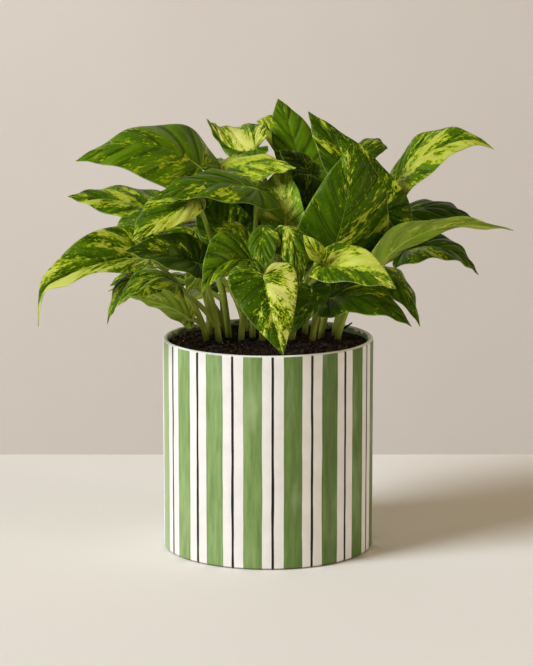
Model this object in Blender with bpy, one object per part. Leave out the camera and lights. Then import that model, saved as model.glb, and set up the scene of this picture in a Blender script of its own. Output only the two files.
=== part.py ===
"""A potted golden pothos: a striped ceramic pot, its soil, and leafy stems standing in the soil.

Metres, +Z up. The origin is the middle of the pot's flat foot, and -Y is the front.
"""
import math
from collections import namedtuple

import bpy
from mathutils import Vector

MM = 0.001

# Pot: a straight ceramic cylinder with a rounded lip
POT_RADIUS = 75 * MM
POT_HEIGHT = 151 * MM
POT_WALL = 3.6 * MM
POT_FLOOR = 7 * MM
POT_FOOT_EDGE = 2 * MM
POT_CORNER = 3 * MM
LIP_STEPS = 4
POT_SEGMENTS = 48

# Soil: fills the pot to a little under its lip
CLEARANCE = 0.3 * MM
SOIL_LEVEL = POT_HEIGHT - 4.5 * MM
SOIL_LUMP = 1.2 * MM
SOIL_WAVES = (160, 190, 310)
SOIL_EDGE = 1 * MM
SOIL_RINGS = (12 * MM, 27 * MM, 42 * MM, 56 * MM)

# Stems: round petioles, thick at the foot and slim at the blade
STEM_DEPTH = 26 * MM
STEM_RISE = 2 * MM
FOOT_RADIUS = 2.3 * MM
FORK_RADIUS = 2.0 * MM
NECK_RADIUS = 1.5 * MM
NECK_DROP = 0.9 * MM
KEEL_RADIUS = 0.8 * MM
KEEL_DROP = 0.5 * MM
KEEL_REACH = 0.10

# A petiole's route: how upright it leaves its start, and how flat it comes in under the blade
START_LEAN = Vector((0.2, 0.2, 0.45))
NECK_LEAN = Vector((0.5, 0.5, 0.3))
STEM_SIDES = 5
STEM_STEPS = 5
HOLE_SIDES = 8
HOLE_RISE = 6 * MM
BRANCH_SHARES = (0.0, 0.10, 0.20)

# Blades: heart-shaped sheets, measured in shares of the rib's length
BLADE_THICKNESS = 0.8 * MM
WIDE_STATION = 0.22
WIDE_SHARE = 0.40
BOW = 0.10

# Half of a blade's outline: where its vein leaves the rib, then how far along and out it ends
OUTLINE = (
    (0.00, 0.00, 0.00),
    (0.00, -0.15, 0.10),
    (0.00, -0.16, 0.27),
    (0.04, 0.00, 0.39),
    (0.14, 0.22, 0.40),
    (0.32, 0.46, 0.335),
    (0.55, 0.68, 0.23),
    (0.78, 0.86, 0.11),
    (1.00, 1.00, 0.00),
)
COLUMNS = (-1.0, -0.5, 0.0, 0.5, 1.0)

# The eye that the front leaves are placed from
EYE = Vector((-1, -1765, 477)) * MM

Leaf = namedtuple("Leaf", "name joint middle tip left right hang", defaults=(Vector(),))

# Where each stem leaves the soil, across and back, in mm
FEET = {
    "stem_left_outer": (-44, 6),
    "stem_left_front": (-35, 2),
    "stem_left_middle": (-28, 14),
    "stem_left_back": (-42, 26),
    "stem_front_left": (-19, 4),
    "stem_centre_left": (-11, 16),
    "stem_centre": (-4, 3),
    "stem_centre_back": (-2, 22),
    "stem_front_right": (17, 3),
    "stem_right_front": (32, 5),
    "stem_right_middle": (38, 17),
    "stem_right_outer": (50, 8),
    "stem_right_back": (48, 24),
    "stem_top": (10, 31),
    "stem_top_right": (27, 30),
    "stem_back_left": (-30, 32),
    "stem_back_middle_left": (-16, 40),
    "stem_back_middle": (1, 43),
    "stem_back_middle_right": (18, 41),
    "stem_back_right": (36, 34),
}

# Front leaves, each place as (across, up, back) in mm: across and up are where it is seen on the
# pot's middle plane. Joint, middle and tip lie on the rib, left and right on the widest margin.
FRONT_LEAVES = {
    "stem_left_outer": (
        Leaf("low_left", (-64, 188, -50), (-83, 192, -74), (-106, 173, -94), (-75, 185, -82), (-83, 200, -52)),
        Leaf("left_long", (-83, 207, -24), (-126, 201, -42), (-172, 176, -48), (-102, 198, -56), (-111, 230, -24)),
        Leaf("under_left", (-55, 164, -6), (-73, 174, -12), (-97, 179, -20), (-65, 184, -26), (-68, 164, 4)),
    ),
    "stem_left_front": (
        Leaf("left_front", (-49, 203, -48), (-74, 210, -62), (-101, 212, -80), (-61, 197, -80), (-59, 225, -42)),
        Leaf("low_tail", (-83, 195, -36), (-102, 188, -44), (-114, 160, -50), (-92, 180, -54), (-97, 198, -28)),
    ),
    "stem_left_middle": (
        Leaf("left_fold", (-50, 250, -36), (-70, 238, -50), (-96, 219, -62), (-56, 234, -52), (-82, 249, -34)),
        Leaf("left_mid", (-51, 227, 6), (-83, 232, 6), (-109, 219, 6), (-73, 216, -8), (-89, 236, 24)),
        Leaf("low_pale", (-84, 198, 6), (-98, 195, 4), (-112, 187, 0), (-93, 190, -10), (-95, 201, 18)),
    ),
    "stem_left_back": (
        Leaf("upper_left", (-47, 271, 5), (-85, 287, -8), (-135, 276, -20), (-71, 256, -22), (-58, 300, 28)),
        Leaf("left_upper", (-76, 242, 40), (-110, 249, 42), (-141, 251, 42), (-92, 232, 22), (-89, 257, 62)),
    ),
    "stem_front_left": (
        Leaf("front_left", (-11, 205, -50), (-32, 203, -64), (-47, 182, -86), (-18, 196, -70), (-32, 226, -50)),
        Leaf("mid_leaf", (-13, 218, -34), (-26, 227, -34), (-40, 229, -32), (-25, 214, -40), (-18, 231, -26)),
        Leaf("under_front", (-43, 203, -18), (-49, 195, -24), (-58, 183, -28), (-57, 199, -26), (-42, 190, -18)),
    ),
    "stem_centre_left": (
        Leaf("roof_left", (-7, 256, -22), (-44, 260, -38), (-83, 248, -54), (-19, 246, -48), (-32, 269, -12)),
        Leaf("shade_left", (-22, 220, 4), (-38, 236, 5), (-46, 249, 2), (-46, 221, 0), (-20, 244, 10)),
        Leaf("inner_left", (-2, 222, 18), (-14, 238, 22), (-22, 258, 24), (-26, 232, 18), (4, 250, 28)),
    ),
    "stem_centre": (
        Leaf("front_drop", (-3, 195, -80), (2, 170, -92), (11, 137, -100), (21, 190, -84), (-27, 185, -86)),
        Leaf("front_arch", (8, 230, -46), (17, 222, -62), (23, 187, -76), (29, 223, -50), (4, 211, -64)),
        Leaf("front_lobe", (-3, 229, -54), (-4, 216, -66), (-1, 200, -74), (7, 217, -68), (-14, 217, -60)),
    ),
    "stem_centre_back": (
        Leaf("crest_stripe", (-38, 268, 30), (-9, 274, 10), (20, 271, -12), (-21, 280, 34), (-19, 259, 0)),
        Leaf("heart_inner", (13, 231, -13), (12, 252, -3), (11, 273, 4), (25, 243, -14), (-8, 246, -4)),
    ),
    "stem_front_right": (
        Leaf("cream_front", (40, 202, -74), (66, 198, -90), (91, 185, -106), (60, 217, -72), (48, 190, -100)),
        Leaf("front_heart", (31, 185, -50), (28, 170, -62), (16, 152, -66), (44, 182, -52), (16, 179, -56)),
        Leaf("young_front", (37, 206, -78), (32, 214, -84), (25, 224, -80), (28, 210, -84), (39, 216, -84)),
    ),
    "stem_right_front": (
        Leaf("great_heart", (44, 207, -36), (55, 246, -40), (60, 290, -28), (22, 232, -38), (85, 233, -24)),
        Leaf("low_right", (44, 178, -36), (71, 178, -56), (102, 158, -72), (67, 190, -38), (55, 167, -68)),
        Leaf("fill_low", (46, 177, -10), (53, 190, -14), (60, 204, -16), (44, 193, -10), (65, 184, -18)),
    ),
    "stem_right_middle": (
        Leaf("tall_right", (79, 240, -8), (55, 277, 0), (28, 311, 16), (45, 260, -8), (91, 261, -2)),
        Leaf("shade_mid", (35, 236, 8), (27, 251, 10), (20, 268, 10), (15, 246, 4), (42, 258, 18)),
    ),
    "stem_right_outer": (
        Leaf("right_long", (76, 200, -14), (116, 228, -6), (173, 227, 4), (93, 210, 10), (85, 225, -42)),
        Leaf("low_right_far", (74, 199, 14), (92, 190, 0), (108, 158, -24), (91, 199, 26), (80, 182, -4)),
    ),
    "stem_right_back": (
        Leaf("upper_right", (89, 259, 30), (115, 283, 30), (153, 293, 30), (102, 291, 50), (102, 256, 8)),
        Leaf("right_dark", (85, 235, 44), (114, 243, 52), (145, 235, 56), (104, 247, 72), (102, 227, 32)),
        Leaf("right_low", (97, 212, 44), (124, 214, 34), (149, 195, 20), (116, 224, 58), (112, 206, 16)),
    ),
    "stem_top": (
        Leaf("tall_dark", (25, 269, 52), (16, 297, 62), (7, 320, 66), (4, 284, 58), (39, 284, 60)),
        Leaf("crest_left", (-8, 285, 40), (-28, 286, 58), (-43, 306, 74), (-17, 276, 36), (-19, 301, 74)),
        Leaf("pale_back", (15, 283, 74), (4, 295, 80), (-8, 304, 84), (3, 285, 74), (10, 305, 90)),
    ),
    "stem_top_right": (
        Leaf("small_inner", (31, 266, 32), (20, 276, 24), (8, 284, 12), (17, 267, 16), (31, 278, 34)),
        Leaf("peek_right", (54, 272, 46), (69, 283, 60), (84, 285, 70), (66, 290, 76), (67, 270, 44)),
    ),
}

# How far the last part of a blade hangs past its tip: across, back and up, in mm
HANGS = {"left_long": (9, -4, -17), "upper_right": (6, 0, -9)}
HANG_FROM = 0.8

# Back leaves spread like a fan: name, heading in degrees, then joint radius, height, rise and length
BACK_LEAVES = {
    "stem_back_left": (("back_left_low", 150, 70, 190, -18, 68), ("back_left_mid", 128, 64, 222, -4, 66)),
    "stem_back_middle_left": (("back_leaf_low", 116, 61, 182, -26, 74), ("back_leaf_high", 112, 52, 256, 10, 60)),
    "stem_back_middle": (("back_low", 92, 60, 200, -20, 74), ("back_mid", 96, 64, 236, 0, 66)),
    "stem_back_middle_right": (("back_right_low", 62, 66, 182, -26, 70), ("back_right_high", 62, 68, 250, 8, 60)),
    "stem_back_right": (("back_side_mid", 50, 66, 206, -10, 70),),
}
BACK_ARCH = 0.08
BACK_DROOP = 0.10
BACK_BREADTH = 0.85

# Finish of each kind of piece: colour, roughness
GLAZE = ((0.55, 0.62, 0.42), 0.35)
EARTH = ((0.03, 0.02, 0.014), 0.95)
LEAF_GREENS = ((0.07, 0.16, 0.015), (0.10, 0.20, 0.02), (0.16, 0.26, 0.04))
LEAF_ROUGHNESS = 0.38
SHARP_ANGLE = math.radians(40)


def clear_scene():
    for old in list(bpy.data.objects):
        bpy.data.objects.remove(old, do_unlink=True)


def finish(name, colour, roughness):
    """A plain Principled material."""
    material = bpy.data.materials.new(name)
    material.use_nodes = True
    shader = material.node_tree.nodes["Principled BSDF"]
    shader.inputs["Base Color"].default_value = (*colour, 1)
    shader.inputs["Roughness"].default_value = roughness
    shader.inputs["Metallic"].default_value = 0
    return material


def new_object(name, verts, faces):
    mesh = bpy.data.meshes.new(name)
    mesh.from_pydata([tuple(v) for v in verts], [], faces)
    mesh.validate()
    obj = bpy.data.objects.new(name, mesh)
    bpy.context.scene.collection.objects.link(obj)
    return obj


def as_seen(place):
    """The point on the sight line through (across, up) of the middle plane, at depth back."""
    across, up, back = (value * MM for value in place)
    share = (back - EYE.y) / -EYE.y
    return EYE + (Vector((across, 0, up)) - EYE) * share


def front_leaf(row):
    places = [as_seen(place) for place in (row.joint, row.middle, row.tip, row.left, row.right)]
    return Leaf(row.name, *places, Vector(HANGS.get(row.name, (0, 0, 0))) * MM)


def back_leaf(name, heading, radius, height, rise, length):
    """A leaf that spreads outward at a heading, arched along its rib and drooping at its sides."""
    out = Vector((math.cos(math.radians(heading)), math.sin(math.radians(heading)), 0))
    side = Vector((-out.y, out.x, 0))
    joint = (out * radius + Vector((0, 0, height))) * MM
    reach = math.sqrt(length ** 2 - rise ** 2)
    tip = joint + (out * reach + Vector((0, 0, rise))) * MM
    middle = (joint + tip) / 2 + Vector((0, 0, BACK_ARCH * length * MM))
    droop = Vector((0, 0, -BACK_DROOP * length * MM))
    wide = WIDE_SHARE * BACK_BREADTH * length * MM
    rib = Leaf(name, joint, middle, tip, None, None)
    station = rib_point(rib, WIDE_STATION)
    return rib._replace(left=station + side * wide + droop, right=station - side * wide + droop)


def rib_point(leaf, t):
    """The rib is the parabola through joint, middle and tip."""
    return (leaf.joint * ((1 - t) * (1 - 2 * t)) + leaf.middle * (4 * t * (1 - t))
            + leaf.tip * (t * (2 * t - 1)))


def rib_slope(leaf, t):
    slope = leaf.joint * (4 * t - 3) + leaf.middle * (4 - 8 * t) + leaf.tip * (4 * t - 1)
    return slope.normalized()


def top_side(leaf, t):
    """The direction that the blade's top faces, at the rib."""
    return rib_slope(leaf, t).cross(leaf.left - leaf.right).normalized()


def blade_point(leaf, row, column):
    """A point of the blade: row is an outline row, column runs from -1, right, to 1, left."""
    vein, along, half = row
    out = abs(column)
    wide = leaf.left if column > 0 else leaf.right
    wing = wide - rib_point(leaf, WIDE_STATION)
    t = vein + (along - vein) * out
    share = half / WIDE_SHARE * out
    bow = BOW * wing.length * share * (1 - out)
    hang = max(0.0, (t - HANG_FROM) / (1 - HANG_FROM)) ** 2
    return rib_point(leaf, t) + wing * share + top_side(leaf, t) * bow + leaf.hang * hang


def blade(leaf, outline, columns):
    """The blade as one sheet of triangles, thickened alike on both faces."""
    verts = []
    numbers = {}

    def number(row, column):
        on_rib = outline[row][2] == 0 or column == 0
        key = ("rib", outline[row][0]) if on_rib else (row, column)
        if key not in numbers:
            numbers[key] = len(verts)
            verts.append(blade_point(leaf, outline[row], 0.0 if on_rib else column))
        return numbers[key]

    faces = []
    for row in range(len(outline) - 1):
        for first, second in zip(columns, columns[1:]):
            corners = [number(row, first), number(row, second), number(row + 1, second), number(row + 1, first)]
            split = (0, 1, 2), (0, 2, 3)
            if first >= 0:
                split = (0, 1, 3), (1, 2, 3)
            for triangle in split:
                face = [corners[i] for i in triangle]
                if len(set(face)) == 3:
                    faces.append(face)
    obj = new_object(leaf.name, verts, faces)
    solid = obj.modifiers.new("thickness", "SOLIDIFY")
    solid.thickness = BLADE_THICKNESS
    solid.offset = 0
    return obj


def curve_point(points, t):
    """A point on the cubic curve with four control points."""
    a, b, c, d = points
    s = 1 - t
    return a * s ** 3 + b * (3 * s * s * t) + c * (3 * s * t * t) + d * t ** 3


def petiole_route(foot, leaf, main_route, branch):
    """Centres and radii from the soil, or from a fork on the main petiole, to under the blade's rib."""
    neck = leaf.joint - top_side(leaf, 0) * NECK_DROP
    if main_route:
        start = curve_point(main_route, branch)
        centres = []
        radii = []
        thick = FORK_RADIUS
    else:
        start = Vector((foot.x, foot.y, SOIL_LEVEL + STEM_RISE))
        centres = [Vector((foot.x, foot.y, SOIL_LEVEL - STEM_DEPTH))]
        radii = [FOOT_RADIUS]
        thick = FOOT_RADIUS
    span = neck - start
    route = (start, start + span * START_LEAN, neck - span * NECK_LEAN, neck)
    for step in range(STEM_STEPS + 1):
        share = step / STEM_STEPS
        centres.append(curve_point(route, share))
        radii.append(thick + (NECK_RADIUS - thick) * share)
    centres.append(rib_point(leaf, KEEL_REACH) - top_side(leaf, KEEL_REACH) * KEEL_DROP)
    radii.append(KEEL_RADIUS)
    return route, centres, radii


def tube(name, centres, radii, sides):
    """A closed round tube along the centres."""
    verts = []
    faces = []
    across = Vector((1, 0, 0))
    last = len(centres) - 1
    for i, centre in enumerate(centres):
        ahead = (centres[min(i + 1, last)] - centres[max(i - 1, 0)]).normalized()
        across = (across - ahead * across.dot(ahead)).normalized()
        up = ahead.cross(across)
        for side in range(sides):
            angle = 2 * math.pi * side / sides
            verts.append(centre + (across * math.cos(angle) + up * math.sin(angle)) * radii[i])
    for i in range(last):
        for side in range(sides):
            a = i * sides + side
            b = i * sides + (side + 1) % sides
            faces.append((a, b, b + sides, a + sides))
    faces.append(tuple(reversed(range(sides))))
    faces.append(tuple(range(last * sides, (last + 1) * sides)))
    return new_object(name, verts, faces)


def bake(obj):
    """Applies an object's modifiers."""
    evaluated = obj.evaluated_get(bpy.context.evaluated_depsgraph_get())
    mesh = bpy.data.meshes.new_from_object(evaluated)
    obj.modifiers.clear()
    obj.data = mesh


def join(name, pieces):
    """One Boolean union of all pieces, under the first one's object."""
    base, others = pieces[0], pieces[1:]
    group = bpy.data.collections.new(name)
    bpy.context.scene.collection.children.link(group)
    for other in others:
        bpy.context.scene.collection.objects.unlink(other)
        group.objects.link(other)
    union = base.modifiers.new("union", "BOOLEAN")
    union.operation = "UNION"
    union.operand_type = "COLLECTION"
    union.collection = group
    union.solver = "MANIFOLD"
    bpy.context.view_layer.update()
    bake(base)
    for other in others:
        bpy.data.objects.remove(other, do_unlink=True)
    bpy.data.collections.remove(group)
    base.name = name
    base.data.name = name
    return base


def stem_pieces(foot, leaves):
    """The petioles and blades of one stem, as separate closed pieces."""
    pieces = []
    main_route = None
    for leaf, branch in zip(leaves, BRANCH_SHARES):
        route, centres, radii = petiole_route(foot, leaf, main_route, branch)
        main_route = main_route or route
        pieces.append(tube(leaf.name + "_petiole", centres, radii, STEM_SIDES))
        pieces.append(blade(leaf, OUTLINE, COLUMNS))
        bpy.context.view_layer.update()
        bake(pieces[-1])
    return pieces


def all_stems():
    """Each stem's foot and its leaves, in world places."""
    stems = {}
    for name, (across, back) in FEET.items():
        if name in FRONT_LEAVES:
            leaves = [front_leaf(row) for row in FRONT_LEAVES[name]]
        else:
            leaves = [back_leaf(*row) for row in BACK_LEAVES[name]]
        stems[name] = (Vector((across, back, 0)) * MM, leaves)
    return stems


def turned(name, profile, segments):
    """A solid turned about Z from a closed profile of (radius, height) points, outer side downward."""
    rings = []
    verts = []
    for radius, height in profile:
        if radius == 0:
            rings.append([len(verts)] * segments)
            verts.append((0, 0, height))
            continue
        rings.append([len(verts) + i for i in range(segments)])
        for i in range(segments):
            angle = 2 * math.pi * i / segments
            verts.append((radius * math.cos(angle), radius * math.sin(angle), height))
    faces = []
    for upper, lower in zip(rings, rings[1:]):
        for i in range(segments):
            j = (i + 1) % segments
            face = (upper[i], lower[i], lower[j], upper[j])
            face = tuple(dict.fromkeys(face))
            faces.append(face)
    return new_object(name, verts, faces)


def make_pot():
    inner = POT_RADIUS - POT_WALL
    lip = POT_WALL / 2
    profile = [(0, POT_FLOOR), (inner - POT_CORNER, POT_FLOOR), (inner, POT_FLOOR + POT_CORNER)]
    for step in range(LIP_STEPS + 1):
        angle = math.pi * (1 - step / LIP_STEPS)
        profile.append((POT_RADIUS - lip + lip * math.cos(angle),
                        POT_HEIGHT - lip + lip * math.sin(angle)))
    profile += [(POT_RADIUS, POT_FOOT_EDGE), (POT_RADIUS - POT_FOOT_EDGE, 0), (0, 0)]
    return turned("pot", profile, POT_SEGMENTS)


def lump(x, y):
    """Height of the soil's uneven top at a place."""
    slow, middling, quick = SOIL_WAVES
    return SOIL_LUMP * (math.sin(x * middling) * math.cos(y * slow) + math.sin((x + y) * quick) / 2)


def make_soil(stems):
    """Fills the pot up to its level, with a plain round hole for each stem's foot."""
    wall = POT_RADIUS - POT_WALL - CLEARANCE
    floor = POT_FLOOR + CLEARANCE
    profile = [(0, SOIL_LEVEL)] + [(radius, SOIL_LEVEL) for radius in SOIL_RINGS]
    profile += [(wall, SOIL_LEVEL), (wall, floor + POT_CORNER), (wall - POT_CORNER, floor), (0, floor)]
    soil = turned("soil", profile, POT_SEGMENTS)
    for vert in soil.data.vertices:
        if vert.co.z > SOIL_LEVEL - SOIL_EDGE and vert.co.xy.length < wall - SOIL_EDGE:
            vert.co.z += lump(vert.co.x, vert.co.y)
    holes = []
    hole_radius = (FOOT_RADIUS + CLEARANCE) / math.cos(math.pi / HOLE_SIDES)
    for name, (foot, _) in stems.items():
        ends = [foot + Vector((0, 0, SOIL_LEVEL - STEM_DEPTH - CLEARANCE)),
                foot + Vector((0, 0, SOIL_LEVEL + HOLE_RISE))]
        holes.append(tube(name + "_hole", ends, (hole_radius, hole_radius), HOLE_SIDES))
    cutter = join("holes", holes)
    cut = soil.modifiers.new("holes", "BOOLEAN")
    cut.operation = "DIFFERENCE"
    cut.object = cutter
    cut.solver = "EXACT"
    bpy.context.view_layer.update()
    bake(soil)
    bpy.data.objects.remove(cutter, do_unlink=True)
    return soil


def main():
    clear_scene()
    stems = all_stems()
    pot = make_pot()
    pot.data.materials.append(finish("striped glaze", *GLAZE))
    soil = make_soil(stems)
    soil.data.materials.append(finish("dark soil", *EARTH))
    for index, (name, (foot, leaves)) in enumerate(stems.items()):
        stem = join(name, stem_pieces(foot, leaves))
        green = LEAF_GREENS[index % len(LEAF_GREENS)]
        stem.data.materials.clear()
        stem.data.materials.append(finish(name + " leaf", green, LEAF_ROUGHNESS))
    for obj in bpy.context.scene.objects:
        obj.data.shade_smooth()
        obj.data.set_sharp_from_angle(angle=SHARP_ANGLE)


main()
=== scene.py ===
"""The looks of a potted golden pothos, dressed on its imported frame.

Metres, +Z up, -Y the front. The leaves are laid out by the same places as the frame's stems.
"""
import math
import random
from collections import namedtuple

import bmesh
import bpy
import numpy as np
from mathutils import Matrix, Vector, noise


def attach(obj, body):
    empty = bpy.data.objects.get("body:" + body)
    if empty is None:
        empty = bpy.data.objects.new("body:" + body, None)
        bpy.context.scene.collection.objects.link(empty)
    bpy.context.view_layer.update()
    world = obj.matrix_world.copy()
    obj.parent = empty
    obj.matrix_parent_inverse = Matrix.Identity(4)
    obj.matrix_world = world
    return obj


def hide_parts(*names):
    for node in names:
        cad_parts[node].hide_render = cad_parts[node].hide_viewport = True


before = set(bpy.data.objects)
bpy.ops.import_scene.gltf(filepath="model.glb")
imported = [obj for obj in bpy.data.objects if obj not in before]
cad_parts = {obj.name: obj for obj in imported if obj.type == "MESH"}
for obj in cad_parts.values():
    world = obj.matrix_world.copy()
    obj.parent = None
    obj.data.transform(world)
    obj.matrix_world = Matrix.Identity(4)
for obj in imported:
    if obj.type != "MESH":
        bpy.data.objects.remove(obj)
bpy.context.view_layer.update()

MM = 0.001

Leaf = namedtuple("Leaf", "name joint middle tip left right")

# Camera: place of the eye, how far it looks down in degrees, and focal length and sensor in mm
EYE = np.array((-1, -1765, 477)) * MM
LOOK_DOWN = 10.39
LENS = 136.5
SENSOR = 36

# Stage: half width, how far back and up the near and the far edge are, material and two shades
STAGE = (
    ("table_top", 4, (-4, 0), (0.2776, 0), "pale_table", ("ECE7DF", "E8E2D9")),
    ("floor", 5, (-4, -1), (3.4, -1), "pale_floor", ("BDB6AE", "B7B0A8")),
    ("backdrop", 5, (3.4, -3), (3.4, 4), "pale_wall", ("CEC6BD", "C8BFB5")),
)

# Soft round lights: place, target, width, power in watts and colour
LAMPS = (
    ("key", (-8.75, -4.95, 6.15), (0, 0, 0.15), 5.4, 1670, (0.88, 0.945, 1.03)),
    ("fill", (6.0, -4.0, 1.35), (0, 0, 0.15), 2.0, 106, (1.0, 0.94, 0.9)),
    ("wall_light", (-1.2, 1.8, 1.2), (-0.6, 3.4, 0.3), 1.0, 13, (0.98, 0.98, 1.0)),
)

# Light from all round: its colour at the horizon, and its colour from a height on
SKY_LOW = (0.33, 0.257, 0.163, 1)
SKY_HIGH = (0.295, 0.222, 0.133, 1)
SKY_HIGH_FROM = 0.9

# Pot: a straight cylinder with a rounded lip, an eased foot and a rounded corner inside
POT_RADIUS = 75 * MM
POT_HEIGHT = 151 * MM
POT_WALL = 3.6 * MM
POT_INNER = POT_RADIUS - POT_WALL
POT_FLOOR = 7 * MM
POT_CORNER = 3 * MM
POT_LIP = POT_WALL / 2
POT_FOOT_EDGE = 2 * MM

# Rings of points: on the pot's floor, up its inside, down its outside and under its foot
POT_SEGMENTS = 192
FLOOR_RING = POT_INNER - 4 * MM
INSIDE_RINGS = (POT_HEIGHT * 0.5, POT_HEIGHT - 12 * MM)
OUTSIDE_RINGS = (0.9, 0.7, 0.5, 0.3, 0.1)
FOOT_RING = POT_RADIUS - 8 * MM
CORNER_START = -80
CORNER_STEPS = 5
LIP_STEPS = 14
FOOT_STEPS = 6

# Stripes painted on the pot, in degrees from the front: their places, how much closer together
# they are at the front, how far the brush strays, and how soft their edges are
STRIPE_PITCH = 360 / 16
GREEN_CENTRE = -8.5
GREEN_HALF = 5.25
GREEN_RIM = (GREEN_HALF - 0.9, GREEN_HALF - 0.3)
LINE_CENTRE = 2.6
LINE_HALF = 0.74
STRIPE_SQUEEZE = 2.8
STRIPE_STRAY = 0.9
STRIPE_BLUR = 0.12
STRIPE_TOP = (POT_HEIGHT - 1.1 * MM, POT_HEIGHT - 0.7 * MM)

# Painted shade and painted light on the green paint: where it is darkest, on the pot's shaded right
# side, and palest, on its lit left side, in degrees from the front, and the cosines each spans
PAINTED_SHADE_HEADING = 50
PAINTED_SHADE_REACH = (0.25, 1.0)
PAINTED_LIGHT_HEADING = -95
PAINTED_LIGHT_REACH = (0.7, 1.0)

# Stretch round and up the pot of the brush's strays, its marks and the thin places in the paint
STRAY_STRETCH = (0.35, 28.0)
BRUSH_STRETCH = (0.5, 30.0)
THIN_STRETCH = (0.06, 14.0)

# Greenish band inside the lip, and the dark line along the foot, which is painted contact shade
BAND_RADII = (POT_INNER + 0.8 * MM, POT_INNER + 1.4 * MM)
BAND_HEIGHTS = (POT_HEIGHT - 3.0 * MM, POT_HEIGHT - 2.0 * MM)
CONTACT_SHADE_HEIGHTS = (0.5 * MM, 1.8 * MM)

# Shades of the pot
GLAZE_SHADES = ("E5E1DB", "DDD8D0")
PAINT_SHADES = ("6B8746", "88A263")
# Painted shade: the darker greens of the paint on the pot's shaded right side
PAINTED_SHADE_GREENS = ("4A6229", "5E7A35")
THIN_SHADE = "A3B784"
# Painted light: the paler green of the paint on the pot's lit left side
PAINTED_LIGHT_GREEN = "A9BC8A"
RIM_SHADE = "587638"
LINE_SHADE = "0D0703"
# Painted shade: the dark line along the foot where the pot stands on the table
CONTACT_SHADE = "4A4034"
BAND_SHADES = ("A3A88C", "7F9263")

# Soil: rings across its top, which lumps of three sizes lift, each a scale and a height in mm
CLEARANCE = 0.3 * MM
SOIL_LEVEL = POT_HEIGHT - 4.5 * MM
SOIL_RADIUS = POT_INNER - CLEARANCE
SOIL_FLOOR = POT_FLOOR + CLEARANCE
SOIL_RINGS = 46
SOIL_SEGMENTS = 150
SOIL_LUMPS = ((55, 2.2), (160, 1.4), (420, 0.8))
SOIL_EDGE_CALM = 0.6

# Crumbs: how many, smallest and largest size, how they stretch, and how high they lie in mm
CRUMB_SEED = 7
CRUMBS = 1500
CRUMB_SIZES = (0.8 * MM, 2.6 * MM)
GRAINS = 22
GRAIN_SIZES = (0.6 * MM, 1.4 * MM)
CRUMB_STRETCH = ((0.6, 1.3), (0.6, 1.3), (0.5, 0.9))
CRUMB_HEIGHTS = (-0.4, 0.9)
CRUMB_DENTS = 0.45
CRUMB_DENT_SCALE = 1.7
CRUMB_DENT_SHIFT = 900
FOOT_CRUMBS = 9
FOOT_CRUMB_GAPS = (0.4, 2.0)

# A dry twig on the soil: its places and radii in mm
TWIG = ((48, 37, 145.5), (52, 37.5, 148.2), (57, 37, 151.2), (61, 36, 154.4))
TWIG_RADII = (0.9, 0.9, 0.8, 0.5)

# Shades of the soil and what lies on it
SOIL_SHADES = ("0E0905", "30231A")
BARK_SHADES = ("140D08", "463626")
GRIT_SHADES = ("8F8474", "C4BAA9")
SOIL_FLECK_SHADE = "6B6258"

# Material slots of a stem, and how close points are that are one
TOP_SLOT = 0
UNDER_SLOT = 1
PETIOLE_SLOT = 2
WELD_GAP = 0.001 * MM

# Stems
STEM_DEPTH = 26 * MM
STEM_RISE = 2 * MM
FOOT_RADIUS = 2.3 * MM
FORK_RADIUS = 2.0 * MM
NECK_RADIUS = 1.5 * MM
NECK_DROP = 0.9 * MM
KEEL_DROP = 0.7 * MM
KEEL = ((0.05, 1.1 * MM), (0.10, 0.75 * MM), (0.18, 0.4 * MM))
STEM_SIDES = 14
STEM_STEPS = 30
BRANCH_SHARES = (0.0, 0.10, 0.20)

# A petiole's route: how upright it leaves its start, and how flat it comes in under the blade
START_LEAN = np.array((0.2, 0.2, 0.45))
NECK_LEAN = np.array((0.5, 0.5, 0.3))

# A petiole's section, as shares of its radius and angles from its top: a channel between two edges
CHANNEL_DEPTH = 0.14
CHANNEL_SPREAD = 0.4
EDGE_RISE = 0.08
EDGE_ANGLE = 0.7
EDGE_SPREAD = 0.3

# Blades: shares of the rib's length, and mm
BLADE_THICKNESS = 0.6 * MM
MARGIN_THINNING = 0.5
WIDE_STATION = 0.22
WIDE_SHARE = 0.40
BOW = 0.10
BLADE_ROWS = 73
BLADE_COLUMNS = 37
COLUMN_PULL = 1.2
VEIN_SWEEP = 1.3
GROOVE = 0.45 * MM
GROOVE_WIDTH = 1.3 * MM
RIDGE = 0.9 * MM

# Puffs between the veins, and ripples along the margin, which fade where the blade is narrow
QUILT = 1.35 * MM
PUFF_SHAPE = 0.7
PUFF_FADE = 0.1
RIPPLE = 0.018
RIPPLE_RATES = (0.45, 0.65)
RIPPLE_FADE = 0.2

# Half of a blade's outline: where its vein leaves the rib, then how far along and out it ends
OUTLINE = (
    (0, 0, 0),
    (0, -0.15, 0.10),
    (0, -0.16, 0.27),
    (0, 0, 0.39),
    (0.03, 0.22, 0.40),
    (0.17, 0.46, 0.335),
    (0.40, 0.68, 0.23),
    (0.64, 0.84, 0.12),
    (0.84, 0.935, 0.05),
    (1, 1, 0),
)

# A cloud's values between which it goes from no effect to all of it
CONTRAST = (0.3, 0.7)

# Leaf pattern: weight, seed shift, stretch along and across the veins, and detail, roughness and
# distortion of its patches, streaks and flecks, and the weight of a leaf's own share of yellow
PATTERN = (
    (1.5, 0.0, (0.8, 0.9), (1.0, 0.5, 0.0)),
    (1.4, 11.0, (3.6, 3.2), (3.0, 0.6, 0.6)),
    (0.9, 23.0, (10.0, 13.0), (2.0, 0.5, 0.0)),
)
SHARE_WEIGHT = 0.8
SEED_STEP = 3.7
RIB_BLEND = 0.06
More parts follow.
